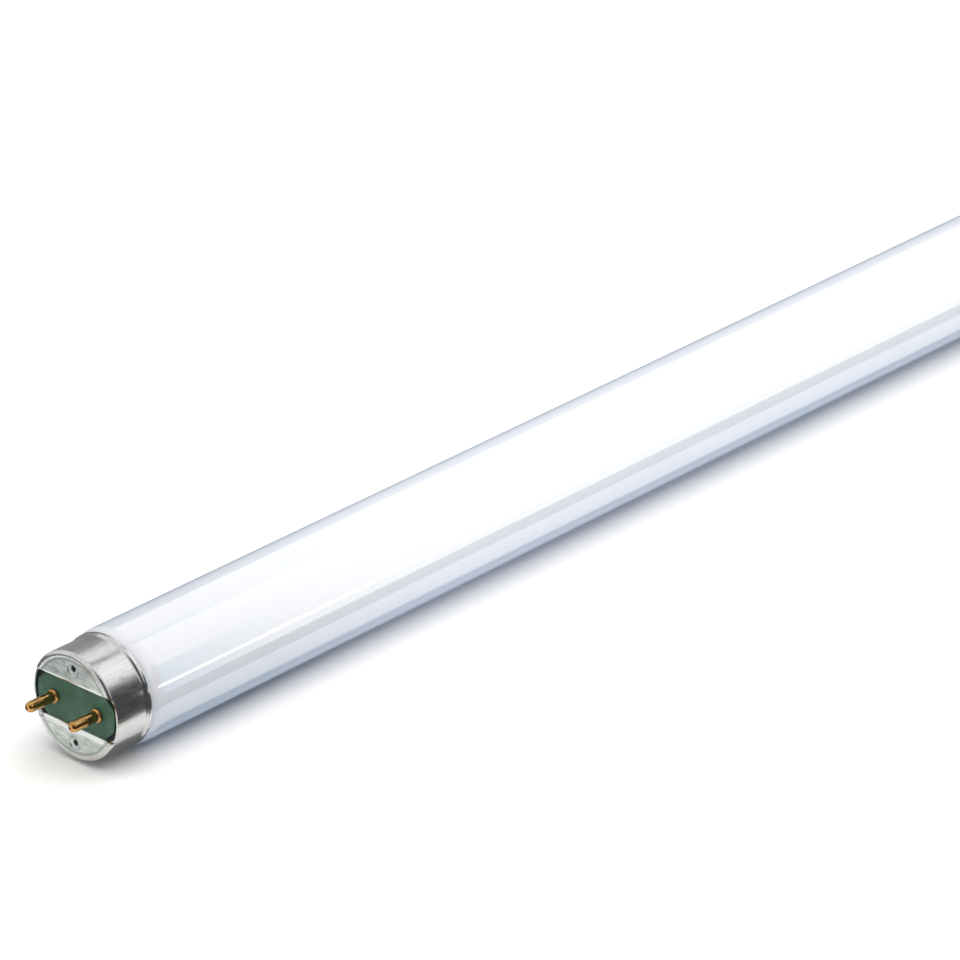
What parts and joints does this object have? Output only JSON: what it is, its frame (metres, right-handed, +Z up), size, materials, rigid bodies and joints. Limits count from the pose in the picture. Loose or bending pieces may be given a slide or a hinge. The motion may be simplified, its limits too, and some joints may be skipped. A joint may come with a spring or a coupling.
{
  "type": "fluorescent tube",
  "caption": "Straight slim fluorescent tube: sealed white-coated glass with an aluminium cap, green insulating plate and brass contact pins at each end.",
  "frame": {"origin": "Middle of the lamp, on the axis of the tube.", "axes": "X runs along the tube from the near cap to the far cap, Y through both pins of each cap, and Z up."},
  "size_m": [0.604, 0.026, 0.026],
  "materials": {
    "coated_glass": "clear glossy glass over a white phosphor coat that can't be seen through",
    "cap_aluminium": "deep-drawn satin sheet with fine rubbing marks",
    "green_insulation": "matt green moulded plate",
    "capping_cement": "cured brown resin cement",
    "pin_brass": "bright drawn brass",
    "lead_wire": "copper-coated nickel-iron wire"
  },
  "bodies": {
    "root": {"glass_bulb": "coated_glass", "near_cap_shell": "cap_aluminium", "near_insulating_plate": "green_insulation", "near_cement_ring": "capping_cement", "near_left_pin": "pin_brass", "near_right_pin": "pin_brass", "near_left_lead_wire": "lead_wire", "near_right_lead_wire": "lead_wire", "far_cap_shell": "cap_aluminium", "far_insulating_plate": "green_insulation", "far_cement_ring": "capping_cement", "far_left_pin": "pin_brass", "far_right_pin": "pin_brass", "far_left_lead_wire": "lead_wire", "far_right_lead_wire": "lead_wire"}
  },
  "joints": []
}
